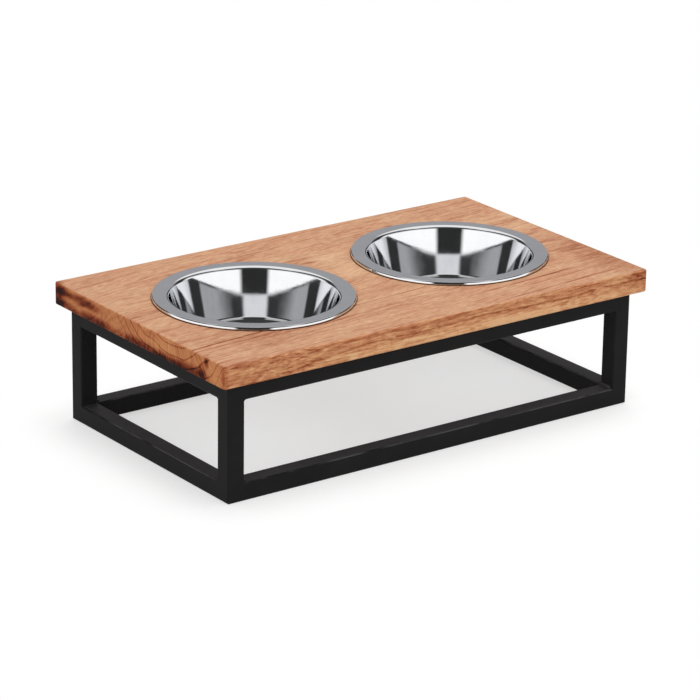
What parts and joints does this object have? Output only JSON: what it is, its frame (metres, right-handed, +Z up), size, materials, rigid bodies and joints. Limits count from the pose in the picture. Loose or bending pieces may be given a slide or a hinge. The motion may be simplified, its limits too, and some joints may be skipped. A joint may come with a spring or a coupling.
{
  "type": "dog feeder stand",
  "caption": "Raised dog feeder: wooden board on a welded frame of black square tube, with round holes that hold lift-out steel bowls by their flanges.",
  "frame": {"origin": "on the floor, under the centre of the board", "axes": "+X along the board's length to the right, -Y towards the front long side, +Z up"},
  "size_m": [0.435, 0.252, 0.1249],
  "materials": {
    "board_wood": "oiled hardwood, satin",
    "frame_coat": "black powder coat, fine satin",
    "bowl_steel": "polished stainless steel",
    "screw_zinc": "zinc plated"
  },
  "bodies": {
    "stand": {"board": "board_wood", "top_rail_front": "frame_coat", "top_rail_back": "frame_coat", "top_rail_left": "frame_coat", "top_rail_right": "frame_coat", "bottom_rail_front": "frame_coat", "bottom_rail_back": "frame_coat", "bottom_rail_left": "frame_coat", "bottom_rail_right": "frame_coat", "post_front_left": "frame_coat", "post_front_right": "frame_coat", "post_back_left": "frame_coat", "post_back_right": "frame_coat", "welds_front_left": "frame_coat", "welds_front_right": "frame_coat", "welds_back_left": "frame_coat", "welds_back_right": "frame_coat", "screw_front_left": "screw_zinc", "screw_front_right": "screw_zinc", "screw_back_left": "screw_zinc", "screw_back_right": "screw_zinc"},
    "left_bowl": {"bowl_left": "bowl_steel"},
    "right_bowl": {"bowl_right": "bowl_steel"}
  },
  "joints": [
    {"name": "left_bowl_lift", "type": "slide", "parent": "stand", "child": "left_bowl", "axis": [0, 0, 1], "range_m": [0, 0.06]},
    {"name": "right_bowl_lift", "type": "slide", "parent": "stand", "child": "right_bowl", "axis": [0, 0, 1], "range_m": [0, 0.06]}
  ]
}
